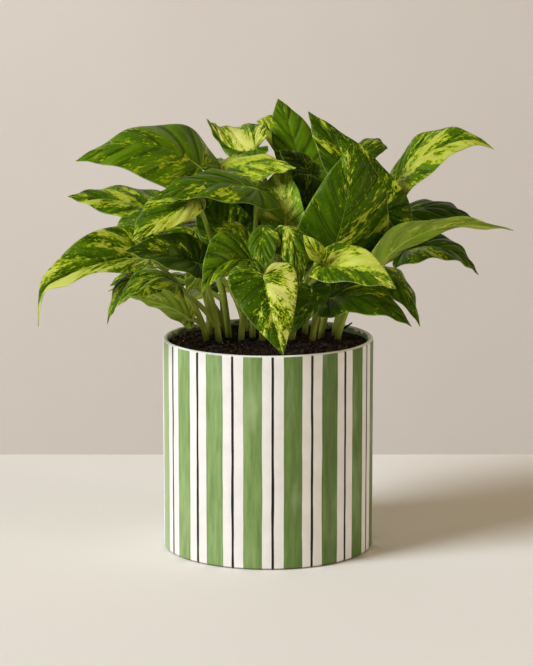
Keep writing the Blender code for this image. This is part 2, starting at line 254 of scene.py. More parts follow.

# From where to where the yellow, the cream, the blotches, the painted shade in the furrows, the dots and
# the painted highlight along the margin come in
HALO_RANGE = (-0.15, 0.06)
YELLOW_RANGE = (-0.04, 0.16)
CREAM_RANGE = (0.1, 0.34)
UNDER_YELLOW_RANGE = (-0.12, 0.16)
BLOTCH_STRETCH = (2.6, 1.6)
BLOTCH_RANGE = (0.35, 0.65)
PAINTED_FURROW_RANGE = (0.04, 0.18)
UNDER_BAND_RANGE = (0.05, 0.45)
DOT_STRETCH = (9.0, 16.0)
DOT_RANGE = (0.62, 0.72)
PAINTED_EDGE_HIGHLIGHT_RANGE = (0.975, 1.0)

# Shades of the leaves: a pair is for a dark and for a light leaf
DEEP_GREENS = ("1B3300", "3F6005")
FRESH_GREENS = ("2A4600", "58790A")
HALO_GREENS = ("3F5E02", "607C0C")
# Painted shade in the furrows along the veins
PAINTED_FURROW_SHADE = "142800"
VEIN_SHADE = "6C8A2A"
DOT_SHADE = "7E9222"
YELLOW_SHADE = "9AA812"
CREAM_SHADE = "C2C268"
# Painted highlight along each leaf's margin
PAINTED_EDGE_HIGHLIGHT_SHADE = "98AA58"
UNDER_GREENS = ("54760E", "86A22C")
UNDER_BAND_GREENS = ("6A8C18", "9EB43E")
UNDER_YELLOW_SHADE = "C2C654"
UNDER_VEIN_SHADE = "BECB60"

# Shades of the petioles: fibres, the paler foot, and the darker part just above the soil
FIBRE_SHADES = ("7F962A", "A6B548")
FIBRE_STRETCH = (0.6, 2.4)
FIBRE_PACE = 10 * MM
FOOT_PALE_SHADE = "B7BF5A"
BASE_DARK_SHADE = "3A3E14"
BASE_DARK_HEIGHT = 9 * MM

# A leaf's wax: the colour it lends to what it reflects, and how strongly it reflects
WAX = {"Specular_Tint": (0.75, 1.0, 0.18, 1.0), "IOR": 1.3}

# Where each stem leaves the soil, across and back, in mm
FEET = {
    "stem_left_outer": (-44, 6),
    "stem_left_front": (-35, 2),
    "stem_left_middle": (-28, 14),
    "stem_left_back": (-42, 26),
    "stem_front_left": (-19, 4),
    "stem_centre_left": (-11, 16),
    "stem_centre": (-4, 3),
    "stem_centre_back": (-2, 22),
    "stem_front_right": (17, 3),
    "stem_right_front": (32, 5),
    "stem_right_middle": (38, 17),
    "stem_right_outer": (50, 8),
    "stem_right_back": (48, 24),
    "stem_top": (10, 31),
    "stem_top_right": (27, 30),
    "stem_back_left": (-30, 32),
    "stem_back_middle_left": (-16, 40),
    "stem_back_middle": (1, 43),
    "stem_back_middle_right": (18, 41),
    "stem_back_right": (36, 34),
}

# Front leaves: joint, middle and tip on the rib, then left and right on the widest margin, each as
# (across, up, back) in mm, where across and up are as seen on the pot's middle plane
FRONT_LEAVES = {
    "stem_left_outer": (
        ("low_left", (-64, 188, -50), (-83, 192, -74), (-106, 173, -94),
         (-75, 185, -82), (-83, 200, -52)),
        ("left_long", (-83, 207, -24), (-126, 201, -42), (-172, 176, -48),
         (-102, 198, -56), (-111, 230, -24)),
        ("under_left", (-55, 164, -6), (-73, 174, -12), (-97, 179, -20),
         (-65, 184, -26), (-68, 164, 4)),
    ),
    "stem_left_front": (
        ("left_front", (-49, 203, -48), (-74, 210, -62), (-101, 212, -80),
         (-61, 197, -80), (-59, 225, -42)),
        ("low_tail", (-83, 195, -36), (-102, 188, -44), (-114, 160, -50),
         (-92, 180, -54), (-97, 198, -28)),
    ),
    "stem_left_middle": (
        ("left_fold", (-50, 250, -36), (-70, 238, -50), (-96, 219, -62),
         (-56, 234, -52), (-82, 249, -34)),
        ("left_mid", (-51, 227, 6), (-83, 232, 6), (-109, 219, 6),
         (-73, 216, -8), (-89, 236, 24)),
        ("low_pale", (-84, 198, 6), (-98, 195, 4), (-112, 187, 0),
         (-93, 190, -10), (-95, 201, 18)),
    ),
    "stem_left_back": (
        ("upper_left", (-47, 271, 5), (-85, 287, -8), (-135, 276, -20),
         (-71, 256, -22), (-58, 300, 28)),
        ("left_upper", (-76, 242, 40), (-110, 249, 42), (-141, 251, 42),
         (-92, 232, 22), (-89, 257, 62)),
    ),
    "stem_front_left": (
        ("front_left", (-11, 205, -50), (-32, 203, -64), (-47, 182, -86),
         (-18, 196, -70), (-32, 226, -50)),
        ("mid_leaf", (-13, 218, -34), (-26, 227, -34), (-40, 229, -32),
         (-25, 214, -40), (-18, 231, -26)),
        ("under_front", (-43, 203, -18), (-49, 195, -24), (-58, 183, -28),
         (-57, 199, -26), (-42, 190, -18)),
    ),
    "stem_centre_left": (
        ("roof_left", (-7, 256, -22), (-44, 260, -38), (-83, 248, -54),
         (-19, 246, -48), (-32, 269, -12)),
        ("shade_left", (-22, 220, 4), (-38, 236, 5), (-46, 249, 2),
         (-46, 221, 0), (-20, 244, 10)),
        ("inner_left", (-2, 222, 18), (-14, 238, 22), (-22, 258, 24),
         (-26, 232, 18), (4, 250, 28)),
    ),
    "stem_centre": (
        ("front_drop", (-3, 195, -80), (2, 170, -92), (11, 137, -100),
         (21, 190, -84), (-27, 185, -86)),
        ("front_arch", (8, 230, -46), (17, 222, -62), (23, 187, -76),
         (29, 223, -50), (4, 211, -64)),
        ("front_lobe", (-3, 229, -54), (-4, 216, -66), (-1, 200, -74),
         (7, 217, -68), (-14, 217, -60)),
    ),
    "stem_centre_back": (
        ("crest_stripe", (-38, 268, 30), (-9, 274, 10), (20, 271, -12),
         (-21, 280, 34), (-19, 259, 0)),
        ("heart_inner", (13, 231, -13), (12, 252, -3), (11, 273, 4),
         (25, 243, -14), (-8, 246, -4)),
    ),
    "stem_front_right": (
        ("cream_front", (40, 202, -74), (66, 198, -90), (91, 185, -106),
         (60, 217, -72), (48, 190, -100)),
        ("front_heart", (31, 185, -50), (28, 170, -62), (16, 152, -66),
         (44, 182, -52), (16, 179, -56)),
        ("young_front", (37, 206, -78), (32, 214, -84), (25, 224, -80),
         (28, 210, -84), (39, 216, -84)),
    ),
    "stem_right_front": (
        ("great_heart", (44, 207, -36), (55, 246, -40), (60, 290, -28),
         (22, 232, -38), (85, 233, -24)),
        ("low_right", (44, 178, -36), (71, 178, -56), (102, 158, -72),
         (67, 190, -38), (55, 167, -68)),
        ("fill_low", (46, 177, -10), (53, 190, -14), (60, 204, -16),
         (44, 193, -10), (65, 184, -18)),
    ),
    "stem_right_middle": (
        ("tall_right", (79, 240, -8), (55, 277, 0), (28, 311, 16),
         (45, 260, -8), (91, 261, -2)),
        ("shade_mid", (35, 236, 8), (27, 251, 10), (20, 268, 10),
         (15, 246, 4), (42, 258, 18)),
    ),
    "stem_right_outer": (
        ("right_long", (76, 200, -14), (116, 228, -6), (173, 227, 4),
         (93, 210, 10), (85, 225, -42)),
        ("low_right_far", (74, 199, 14), (92, 190, 0), (108, 158, -24),
         (91, 199, 26), (80, 182, -4)),
    ),
    "stem_right_back": (
        ("upper_right", (89, 259, 30), (115, 283, 30), (153, 293, 30),
         (102, 291, 50), (102, 256, 8)),
        ("right_dark", (85, 235, 44), (114, 243, 52), (145, 235, 56),
         (104, 247, 72), (102, 227, 32)),
        ("right_low", (97, 212, 44), (124, 214, 34), (149, 195, 20),
         (116, 224, 58), (112, 206, 16)),
    ),
    "stem_top": (
        ("tall_dark", (25, 269, 52), (16, 297, 62), (7, 320, 66),
         (4, 284, 58), (39, 284, 60)),
        ("crest_left", (-8, 285, 40), (-28, 286, 58), (-43, 306, 74),
         (-17, 276, 36), (-19, 301, 74)),
        ("pale_back", (15, 283, 74), (4, 295, 80), (-8, 304, 84),
         (3, 285, 74), (10, 305, 90)),
    ),
    "stem_top_right": (
        ("small_inner", (31, 266, 32), (20, 276, 24), (8, 284, 12),
         (17, 267, 16), (31, 278, 34)),
        ("peek_right", (54, 272, 46), (69, 283, 60), (84, 285, 70),
         (66, 290, 76), (67, 270, 44)),
    ),
}

# How far the last part of a blade hangs past its tip: across, back and up, in mm
HANGS = {"left_long": (9, -4, -17), "upper_right": (6, 0, -9)}
HANG_FROM = 0.8

# Back leaves spread like a fan: name, heading in degrees, then joint radius, height, rise and length
BACK_LEAVES = {
    "stem_back_left": (
        ("back_left_low", 150, 70, 190, -18, 68),
        ("back_left_mid", 128, 64, 222, -4, 66),
    ),
    "stem_back_middle_left": (
        ("back_leaf_low", 116, 61, 182, -26, 74),
        ("back_leaf_high", 112, 52, 256, 10, 60),
    ),
    "stem_back_middle": (
        ("back_low", 92, 60, 200, -20, 74),
        ("back_mid", 96, 64, 236, 0, 66),
    ),
    "stem_back_middle_right": (
        ("back_right_low", 62, 66, 182, -26, 70),
        ("back_right_high", 62, 68, 250, 8, 60),
    ),
    "stem_back_right": (
        ("back_side_mid", 50, 66, 206, -10, 70),
    ),
}
BACK_ARCH = 0.08
BACK_DROOP = 0.10
BACK_BREADTH = 0.85

# Leaf colours: the yellow share of the left and right half, how pale it is, how light the green
LOOKS = {
    "low_left": (0.5, 0.2, 0.3, 0.6),
    "left_long": (0.72, 0.5, 0.7, 0.6),
    "under_left": (0.3, 0.3, 0.2, 0.5),
    "left_front": (0.1, 0.12, 0.2, 0.15),
    "low_tail": (0.4, 0.3, 0.3, 0.5),
    "left_fold": (0.8, 0.35, 0.5, 0.4),
    "left_mid": (0.3, 0.3, 0.3, 0.5),
    "low_pale": (0.3, 0.3, 0.2, 0.4),
    "upper_left": (0.2, 0.2, 0.3, 0.95),
    "left_upper": (0.42, 0.4, 0.4, 0.55),
    "front_left": (0.5, 0.34, 0.25, 0.9),
    "roof_left": (0.16, 0.12, 0.2, 0.5),
    "shade_left": (0.15, 0.15, 0.1, 0.15),
    "inner_left": (0.15, 0.15, 0.1, 0.1),
    "front_drop": (0.64, 0.3, 1.0, 0.15),
    "front_arch": (0.25, 0.35, 1.0, 0.45),
    "front_lobe": (0.25, 0.25, 0.6, 0.4),
    "crest_stripe": (0.55, 0.55, 0.3, 0.5),
    "heart_inner": (0.4, 0.25, 0.3, 0.0),
    "cream_front": (0.6, 0.4, 0.5, 0.5),
    "front_heart": (0.12, 0.15, 0.2, 0.1),
    "fill_low": (0.15, 0.15, 0.2, 0.15),
    "young_front": (0.75, 0.65, 0.3, 0.5),
    "great_heart": (0.12, 0.38, 0.4, 0.25),
    "low_right": (0.12, 0.12, 0.1, 0.35),
    "tall_right": (0.18, 0.3, 0.3, 0.1),
    "shade_mid": (0.12, 0.12, 0.1, 0.1),
    "right_long": (0.34, 0.34, 0.2, 0.4),
    "low_right_far": (0.3, 0.25, 0.4, 0.4),
    "upper_right": (0.5, 0.92, 0.5, 0.6),
    "right_dark": (0.08, 0.05, 0.2, 0.0),
    "right_low": (0.15, 0.35, 0.3, 0.4),
    "tall_dark": (0.08, 0.08, 0.1, 0.95),
    "crest_left": (0.1, 0.62, 0.9, 0.5),
    "pale_back": (0.8, 0.8, 0.4, 0.5),
    "small_inner": (0.2, 0.3, 0.2, 0.3),
    "peek_right": (0.2, 0.2, 0.2, 0.3),
    "mid_leaf": (0.4, 0.4, 0.5, 0.5),
    "under_front": (0.3, 0.3, 0.3, 0.5),
    "back_left_low": (0.25, 0.4, 0.5, 0.5),
    "back_left_mid": (0.45, 0.2, 0.6, 0.4),
    "back_leaf_low": (0.15, 0.3, 0.3, 0.5),
    "back_leaf_high": (0.5, 0.35, 0.7, 0.5),
    "back_low": (0.3, 0.15, 0.4, 0.4),
    "back_mid": (0.2, 0.5, 0.6, 0.5),
    "back_right_low": (0.3, 0.2, 0.3, 0.5),
    "back_right_high": (0.15, 0.4, 0.5, 0.45),
    "back_side_mid": (0.35, 0.25, 0.5, 0.4),
}


# Shader building

def shade(code):
    """Linear colour of a six-digit hex shade."""
    parts = [int(code[i:i + 2], 16) / 255 for i in (0, 2, 4)]
    linear = [part / 12.92 if part <= 0.04045 else ((part + 0.055) / 1.055) ** 2.4 for part in parts]
    return (*linear, 1.0)


class Finish:
    """A Principled material whose nodes are added one at a time."""

    def __init__(self, name):
        self.material = bpy.data.materials.new(name)
        self.material.use_nodes = True
        self.tree = self.material.node_tree
        self.surface = self.tree.nodes["Principled BSDF"]

    def put(self, socket, value):
        """Links another socket to a socket, or sets it to a number, a vector or a shade."""
        if isinstance(value, bpy.types.NodeSocket):
            self.tree.links.new(value, socket)
        elif isinstance(value, str):
            socket.default_value = shade(value)
        else:
            socket.default_value = value

    def node(self, kind, inputs, **settings):
        made = self.tree.nodes.new("ShaderNode" + kind)
        for name, value in settings.items():
            setattr(made, name, value)
        for name, value in inputs.items():
            self.put(made.inputs[name], value)
        return made

    def set(self, **values):
        for name, value in values.items():
            self.put(self.surface.inputs[name.replace("_", " ")], value)

    def math(self, operation, first, second=0.0):
        return self.node("Math", {0: first, 1: second}, operation=operation).outputs[0]

    def scaled(self, value, factor, offset=0.0):
        return self.node("Math", {0: value, 1: factor, 2: offset}, operation="MULTIPLY_ADD").outputs[0]

    def centred(self, value, weight):
        """A value from 0 to 1 as one from minus half the weight to plus half of it."""
        return self.scaled(value, weight, -weight / 2)

    def gap(self, value, pitch, centre=0.0):
        """How far a value is from the nearest place of a row that passes a centre at a pitch."""
        turns = self.math("FRACT", self.scaled(value, 1 / pitch, 0.5 - centre / pitch))
        return self.scaled(self.math("ABSOLUTE", self.centred(turns, 1.0)), pitch)

    def vector(self, x, y, z):
        return self.node("CombineXYZ", {0: x, 1: y, 2: z}).outputs[0]

    def parts(self, vector):
        return self.node("SeparateXYZ", {0: vector}).outputs

    def attribute(self, name):
        """The three numbers of a point attribute."""
        return self.parts(self.node("Attribute", {}, attribute_name=name).outputs["Vector"])

    def place(self):
        """The surface's place in metres."""
        return self.node("TexCoord", {}).outputs["Object"]

    def cloud(self, vector, scale, detail=2.0, roughness=0.5, distortion=0.0):
        inputs = {"Vector": vector, "Scale": scale, "Detail": detail, "Roughness": roughness,
                  "Distortion": distortion}
        return self.node("TexNoise", inputs).outputs["Fac"]

    def streaks(self, along, across, seed, stretch, detail=2.0, roughness=0.5, distortion=0.0):
        """A cloud laid out along and across a surface, with a stretch for each."""
        place = self.vector(self.scaled(along, stretch[0]), self.scaled(across, stretch[1]), seed)
        return self.cloud(place, 1.0, detail, roughness, distortion)

    def smooth(self, value, low, high, bottom=0.0, top=1.0):
        """A soft step from bottom to top while the value goes from low to high."""
        inputs = {"Value": value, "From Min": low, "From Max": high, "To Min": bottom, "To Max": top}
        return self.node("MapRange", inputs, interpolation_type="SMOOTHSTEP").outputs[0]

    def fading(self, value, low, high, most=1.0):
        return self.smooth(value, low, high, bottom=most, top=0.0)

    def mix(self, factor, first, second):
        """A mix of two colours: a Mix node has them at sockets 6 and 7, and the result at 2."""
        made = self.node("Mix", {}, data_type="RGBA")
        self.put(made.inputs[0], factor)
        self.put(made.inputs[6], first)
        self.put(made.inputs[7], second)
        return made.outputs[2]

    def bump(self, height, strength, distance):
        inputs = {"Height": height, "Strength": strength, "Distance": distance}
        self.set(Normal=self.node("Bump", inputs).outputs[0])


def leaf_field(finish, row, column, seed, share):
    """How far a spot of a leaf is inside its yellow parts, which follow the veins."""
    total = finish.centred(share, SHARE_WEIGHT)
    for weight, shift, stretch, texture in PATTERN:
        cloud = finish.streaks(row, column, finish.scaled(seed, 1.0, shift), stretch, *texture)
        total = finish.math("ADD", total, finish.centred(cloud, weight))
    return total


def vein_lines(finish, row, out, width, strength):
    """Thin lines along the veins that leave the rib, and a stronger one along the rib."""
    veins = finish.fading(finish.gap(row, 1.0), 0.0, width, strength)
    rib = finish.fading(out, 0.0, width / 2, 3 * strength)
    return finish.math("MAXIMUM", veins, rib)


def leaf_top_finish():
    """Two greens in blotches, with painted shade in the vein furrows, yellow and cream parts, small pale
    dots and a painted highlight along the margin.
    """
    finish = Finish("leaf_top")
    row, column, seed = finish.attribute("vein")
    share, pale, tone = finish.attribute("look")
    out = finish.math("ABSOLUTE", column)
    field = leaf_field(finish, row, column, seed, share)

    blotches = finish.streaks(row, column, seed, BLOTCH_STRETCH, detail=3.0)
    blotches = finish.smooth(blotches, *BLOTCH_RANGE)
    # Painted shade: darker in the furrows along the veins
    furrow_shade = finish.fading(finish.gap(row, 1.0), *PAINTED_FURROW_RANGE, most=0.7)
    green = finish.mix(blotches, finish.mix(tone, *DEEP_GREENS), finish.mix(tone, *FRESH_GREENS))
    green = finish.mix(furrow_shade, green, PAINTED_FURROW_SHADE)
    green = finish.mix(vein_lines(finish, row, out, width=0.035, strength=0.28), green, VEIN_SHADE)

    halo = finish.smooth(field, *HALO_RANGE, top=0.7)
    yellow = finish.smooth(field, *YELLOW_RANGE)
    cream = finish.math("MULTIPLY", finish.smooth(field, *CREAM_RANGE), pale)
    dots = finish.smooth(finish.streaks(row, column, seed, DOT_STRETCH, detail=1.0), *DOT_RANGE)
    dots = finish.math("MULTIPLY", dots, finish.smooth(share, 0.0, 0.4, bottom=0.1, top=0.7))
    colour = finish.mix(halo, green, finish.mix(tone, *HALO_GREENS))
    colour = finish.mix(dots, colour, DOT_SHADE)
    colour = finish.mix(yellow, colour, YELLOW_SHADE)
    colour = finish.mix(cream, colour, CREAM_SHADE)
    # Painted highlight: a pale line along the margin
    colour = finish.mix(finish.smooth(out, *PAINTED_EDGE_HIGHLIGHT_RANGE, top=0.55), colour, PAINTED_EDGE_HIGHLIGHT_SHADE)
    finish.set(Base_Color=colour, **WAX)

    grain = finish.cloud(finish.place(), scale=700.0, detail=3.0)
    finish.set(Roughness=finish.smooth(grain, *CONTRAST, bottom=0.33, top=0.45))
    raised = finish.math("ADD", grain, finish.scaled(yellow, 0.4))
    finish.bump(raised, strength=0.35, distance=0.15 * MM)
    return finish.material


def leaf_under_finish():
    """Paler greens in bands between the veins, and the yellow parts shining through."""
    finish = Finish("leaf_underside")
    row, column, seed = finish.attribute("vein")
    share, _, tone = finish.attribute("look")
    out = finish.math("ABSOLUTE", column)
    field = leaf_field(finish, row, column, seed, share)
    bands = finish.smooth(finish.gap(row, 1.0), *UNDER_BAND_RANGE)
    yellow = finish.smooth(field, *UNDER_YELLOW_RANGE, top=0.85)
    colour = finish.mix(bands, finish.mix(tone, *UNDER_GREENS), finish.mix(tone, *UNDER_BAND_GREENS))
    colour = finish.mix(yellow, colour, UNDER_YELLOW_SHADE)
    colour = finish.mix(vein_lines(finish, row, out, width=0.07, strength=0.3), colour, UNDER_VEIN_SHADE)
    finish.set(Base_Color=colour, **WAX)
    grain = finish.cloud(finish.place(), scale=900.0, detail=3.0)
    finish.set(Roughness=finish.smooth(grain, *CONTRAST, bottom=0.45, top=0.6))
    finish.bump(grain, strength=0.3, distance=0.12 * MM)
    return finish.material


def petiole_finish():
    """Green fibres, paler towards the foot and darker where they leave the soil."""
    finish = Finish("petiole")
    along, across, seed = finish.attribute("vein")
    height = finish.parts(finish.place())[2]
    fibres = finish.streaks(along, across, seed, FIBRE_STRETCH, detail=3.0)
    upward = finish.smooth(along, 0.0, 8.0)
    darker_base = finish.fading(height, SOIL_LEVEL, SOIL_LEVEL + BASE_DARK_HEIGHT, most=0.75)
    colour = finish.mix(finish.smooth(fibres, *CONTRAST), *FIBRE_SHADES)
    colour = finish.mix(finish.scaled(upward, -0.5, 0.5), colour, FOOT_PALE_SHADE)
    colour = finish.mix(darker_base, colour, BASE_DARK_SHADE)
    finish.set(Base_Color=colour, **WAX)
    finish.set(Roughness=finish.smooth(fibres, *CONTRAST, bottom=0.35, top=0.5))
    finish.bump(fibres, strength=0.3, distance=0.2 * MM)
    return finish.material


def facing(finish, angle, heading):
    """The cosine of how far round the pot a spot is from a heading, both in degrees."""
    return finish.math("COSINE", finish.scaled(angle, math.radians(1), math.radians(-heading)))


def stripe(finish, gap, height, half_width):
    """1 in a stripe that ends under the lip, and 0 outside it."""
    below = finish.fading(height, *STRIPE_TOP)
    inside = finish.fading(gap, half_width - STRIPE_BLUR, half_width + STRIPE_BLUR)
    return finish.math("MULTIPLY", inside, below)


def green_paint(finish, angle, height, brush, gap):
    """Thin green paint with brush marks, with painted shade on the pot's shaded right side and painted
    light on its lit left side, and darker at its rim.
    """
    marks = finish.smooth(brush, *CONTRAST)
    # Painted shade: the paint is darker on the pot's shaded right side
    shaded_side = finish.smooth(facing(finish, angle, PAINTED_SHADE_HEADING), *PAINTED_SHADE_REACH)
    thin = finish.streaks(angle, height, 5.0, THIN_STRETCH, detail=3.0)
    # Painted light: the paint is paler on the pot's lit left side
    pale = finish.smooth(facing(finish, angle, PAINTED_LIGHT_HEADING), *PAINTED_LIGHT_REACH, top=0.6)
    green = finish.mix(shaded_side, finish.mix(marks, *PAINT_SHADES), finish.mix(marks, *PAINTED_SHADE_GREENS))
    green = finish.mix(finish.smooth(thin, 0.5, 0.75, top=0.45), green, THIN_SHADE)
    green = finish.mix(pale, green, PAINTED_LIGHT_GREEN)
    return finish.mix(finish.smooth(gap, *GREEN_RIM, top=0.45), green, RIM_SHADE)


def pot_finish():
    """White glaze with painted green stripes and thin dark lines between them."""
    finish = Finish("striped_glaze")
    place = finish.place()
    x, y, height = finish.parts(place)
    angle = finish.scaled(finish.math("ARCTAN2", x, finish.scaled(y, -1.0)), math.degrees(1))
    squeeze = finish.math("SINE", finish.scaled(angle, math.radians(1)))
    stray = finish.streaks(angle, height, 0.0, STRAY_STRETCH)
    painted = finish.math("ADD", angle, finish.scaled(squeeze, STRIPE_SQUEEZE))
    painted = finish.math("ADD", painted, finish.centred(stray, STRIPE_STRAY))
    green_gap = finish.gap(painted, STRIPE_PITCH, GREEN_CENTRE)
    green_stripe = stripe(finish, green_gap, height, GREEN_HALF)
    dark_line = stripe(finish, finish.gap(painted, STRIPE_PITCH, LINE_CENTRE), height, LINE_HALF)
    # Painted contact shade along the foot
    foot = finish.fading(height, *CONTACT_SHADE_HEIGHTS, most=0.7)

    brush = finish.streaks(angle, height, 3.0, BRUSH_STRETCH, detail=5.0, roughness=0.65)
    mottle = finish.cloud(place, scale=60.0, detail=3.0)
    colour = finish.mix(finish.smooth(mottle, *CONTRAST), *GLAZE_SHADES)
    colour = finish.mix(green_stripe, colour, green_paint(finish, angle, height, brush, green_gap))
    colour = finish.mix(dark_line, colour, LINE_SHADE)
    colour = finish.mix(foot, colour, CONTACT_SHADE)

    flat = finish.vector(x, y, 0.0)
    radius = finish.node("VectorMath", {0: flat}, operation="LENGTH").outputs["Value"]
    inside = finish.fading(radius, *BAND_RADII)
    band = finish.math("MULTIPLY", inside, finish.fading(height, *BAND_HEIGHTS))
    colour = finish.mix(band, colour, finish.mix(brush, *BAND_SHADES))
    finish.set(Base_Color=colour, Specular_IOR_Level=0.25, Coat_Weight=0.1, Coat_Roughness=0.25)
    finish.set(Roughness=finish.smooth(brush, *CONTRAST, bottom=0.42, top=0.55))
    raised = finish.math("ADD", finish.scaled(green_stripe, 0.5), finish.scaled(brush, 0.5))
    finish.bump(raised, strength=0.25, distance=0.15 * MM)
    return finish.material


def soil_finish(name, shades):
    """Crumbly earth in two shades, with pale flecks."""
    finish = Finish(name)
    place = finish.place()
    clumps = finish.cloud(place, scale=260.0, detail=5.0, roughness=0.65)
    flecks = finish.cloud(place, scale=1100.0)
    colour = finish.mix(finish.smooth(clumps, 0.4, 0.65), *shades)
    colour = finish.mix(finish.smooth(flecks, 0.66, 0.74, top=0.5), colour, SOIL_FLECK_SHADE)
    finish.set(Base_Color=colour, Specular_IOR_Level=0.1)
    finish.set(Roughness=finish.smooth(clumps, *CONTRAST, bottom=0.85, top=1.0))
    finish.bump(clumps, strength=0.8, distance=1.0 * MM)
    return finish.material


def stage_finish(name, shades):
    finish = Finish(name)
    mottle = finish.cloud(finish.place(), scale=3.0, detail=3.0)
    finish.set(Base_Color=finish.mix(mottle, *shades), Roughness=0.9)
    return finish.material


# Meshes

def add_object(name, data):
    obj = bpy.data.objects.new(name, data)
    bpy.context.scene.collection.objects.link(obj)
    return obj


def new_object(name, points, faces, materials):
    """A smooth object in the scene."""
    mesh = bpy.data.meshes.new(name)
    mesh.from_pydata(points, [], faces)
    for material in materials:
        mesh.materials.append(material)
    mesh.shade_smooth()
    return add_object(name, mesh)


class Shell:
    """Gathers points, faces, materials and attributes, and makes one object of them."""

    def __init__(self):
        self.points = []
        self.faces = []
        self.slots = []
        self.veins = []
        self.looks = []
        self.count = 0

    def add(self, points, faces, slots, veins, looks):
        self.points.append(points)
        self.faces += [tuple(number + self.count for number in face) for face in faces]
        self.slots += slots
        self.veins.append(veins)
        self.looks.append(looks)
        self.count += len(points)

    def make(self, name, materials):
        obj = new_object(name, np.concatenate(self.points).tolist(), self.faces, materials)
        mesh = obj.data
        mesh.polygons.foreach_set("material_index", self.slots)
        for title, values in (("vein", self.veins), ("look", self.looks)):
            layer = mesh.attributes.new(title, "FLOAT_VECTOR", "POINT")
            layer.data.foreach_set("vector", np.concatenate(values).astype(np.float32).ravel())
        mesh.validate()
        return obj


def unit(vectors):
    return vectors / np.maximum(np.linalg.norm(vectors, axis=-1, keepdims=True), 1e-12)


def grid_faces(rows, columns, first=0, flip=False):
    """Quads of a grid of numbered points."""
    faces = []
    for row in range(rows - 1):
        for column in range(columns - 1):
            a = first + row * columns + column
            face = (a, a + 1, a + columns + 1, a + columns)
            faces.append(face[::-1] if flip else face)
    return faces


def point_rows(shape, *values):
    """The values spread over a grid, as one row for each of its points."""
    spread = [np.broadcast_to(value, shape) for value in values]
    return np.stack(spread, axis=-1).reshape(-1, len(values))


# Places of the leaves

def as_seen(place):
    """The point on the sight line through (across, up) of the middle plane, at depth back."""
    across, up, back = np.array(place) * MM
    share = (back - EYE[1]) / -EYE[1]
    return EYE + (np.array((across, 0.0, up)) - EYE) * share


def front_leaf(name, *places):
    return Leaf(name, *[as_seen(place) for place in places])


def back_leaf(name, heading, radius, height, rise, length):
    """A leaf that spreads outward at a heading, arched along its rib and drooping at its sides."""
    out = np.array((math.cos(math.radians(heading)), math.sin(math.radians(heading)), 0))
    side = np.array((-out[1], out[0], 0))
    upward = np.array((0, 0, 1))
    joint = (out * radius + upward * height) * MM
    reach = math.sqrt(length ** 2 - rise ** 2)
    tip = joint + (out * reach + upward * rise) * MM
    middle = (joint + tip) / 2 + upward * BACK_ARCH * length * MM
    droop = upward * -BACK_DROOP * length * MM
    wide = WIDE_SHARE * BACK_BREADTH * length * MM
    rib = Leaf(name, joint, middle, tip, left=None, right=None)
    station = rib_point(rib, WIDE_STATION)
    return rib._replace(left=station + side * wide + droop, right=station - side * wide + droop)


def rib_point(leaf, t):
    """The rib is the parabola through joint, middle and tip."""
    t = np.asarray(t)[..., None]
    start = leaf.joint * ((1 - t) * (1 - 2 * t))
    return start + leaf.middle * (4 * t * (1 - t)) + leaf.tip * (t * (2 * t - 1))


def rib_slope(leaf, t):
    t = np.asarray(t)[..., None]
    return unit(leaf.joint * (4 * t - 3) + leaf.middle * (4 - 8 * t) + leaf.tip * (4 * t - 1))


def top_side(leaf, t):
    """The direction that the blade's top faces, at the rib."""
    return unit(np.cross(rib_slope(leaf, t), leaf.left - leaf.right))


# Blades

def smooth_outline(places):
    """Vein, along and half at places between the outline's rows, on one smooth curve through them."""
    rows = np.array(OUTLINE)
    last = len(rows) - 1
    start = np.clip(np.floor(places).astype(int), 0, last - 1)
    f = (places - start)[:, None]
    before, here, ahead, after = (rows[np.clip(start + step, 0, last)] for step in (-1, 0, 1, 2))
    curve = 0.5 * (2 * here + (ahead - before) * f + (2 * before - 5 * here + 4 * ahead - after) * f ** 2
                   + (3 * here - before - 3 * ahead + after) * f ** 3)
    curve[:, 0] = np.clip(curve[:, 0], 0, 1)
    curve[:, 2] = np.maximum(curve[:, 2], 0)
    return curve


def sheet_normals(sheet, top):
    """Directions square to a sheet on its top side, and the top's own where it has no width."""
    normal = unit(np.cross(np.gradient(sheet, axis=1), np.gradient(sheet, axis=0)))
    normal *= np.sign(np.sum(normal * top, axis=-1, keepdims=True))
    narrow = np.linalg.norm(normal, axis=-1) < 0.5
    normal[narrow] = top[narrow]
    normal[0] = top[0]
    normal[-1] = top[-1]
    return normal


def blade_puffs(places, out, half):
    """From 0 to 1, the puffs between the veins, which end at the rib and the margin."""
    between = abs(np.sin(math.pi * places[:, None])) ** PUFF_SHAPE
    return between * np.minimum(1, 4 * out * (1 - out)) * np.minimum(1, half / PUFF_FADE)


def blade_ripples(draw, places, columns, half):
    """From -1 to 1, the ripples of a blade's margin, which are its own on each side."""
    phases = np.where(columns > 0, draw.random(), draw.random())
    rate = draw.uniform(*RIPPLE_RATES)
    wave = np.sin(2 * math.pi * (places[:, None] * rate + phases)) * abs(columns) ** 3
    return wave * np.minimum(1, half / RIPPLE_FADE)


def blade_faces():
    """Faces of the top, the underside and the two margins, and which material each has."""
    count = BLADE_ROWS * BLADE_COLUMNS
    numbers = np.arange(count).reshape(BLADE_ROWS, BLADE_COLUMNS)
    top = grid_faces(BLADE_ROWS, BLADE_COLUMNS)
    underside = grid_faces(BLADE_ROWS, BLADE_COLUMNS, first=count, flip=True)
    margins = []
    for edge, flip in ((numbers[:, 0], False), (numbers[:, -1], True)):
        for a, b in zip(edge, edge[1:]):
            face = (a, b, b + count, a + count)
            margins.append(face[::-1] if flip else face)
    slots = [TOP_SLOT] * len(top) + [UNDER_SLOT] * len(underside) + [TOP_SLOT] * len(margins)
    return top + underside + margins, slots


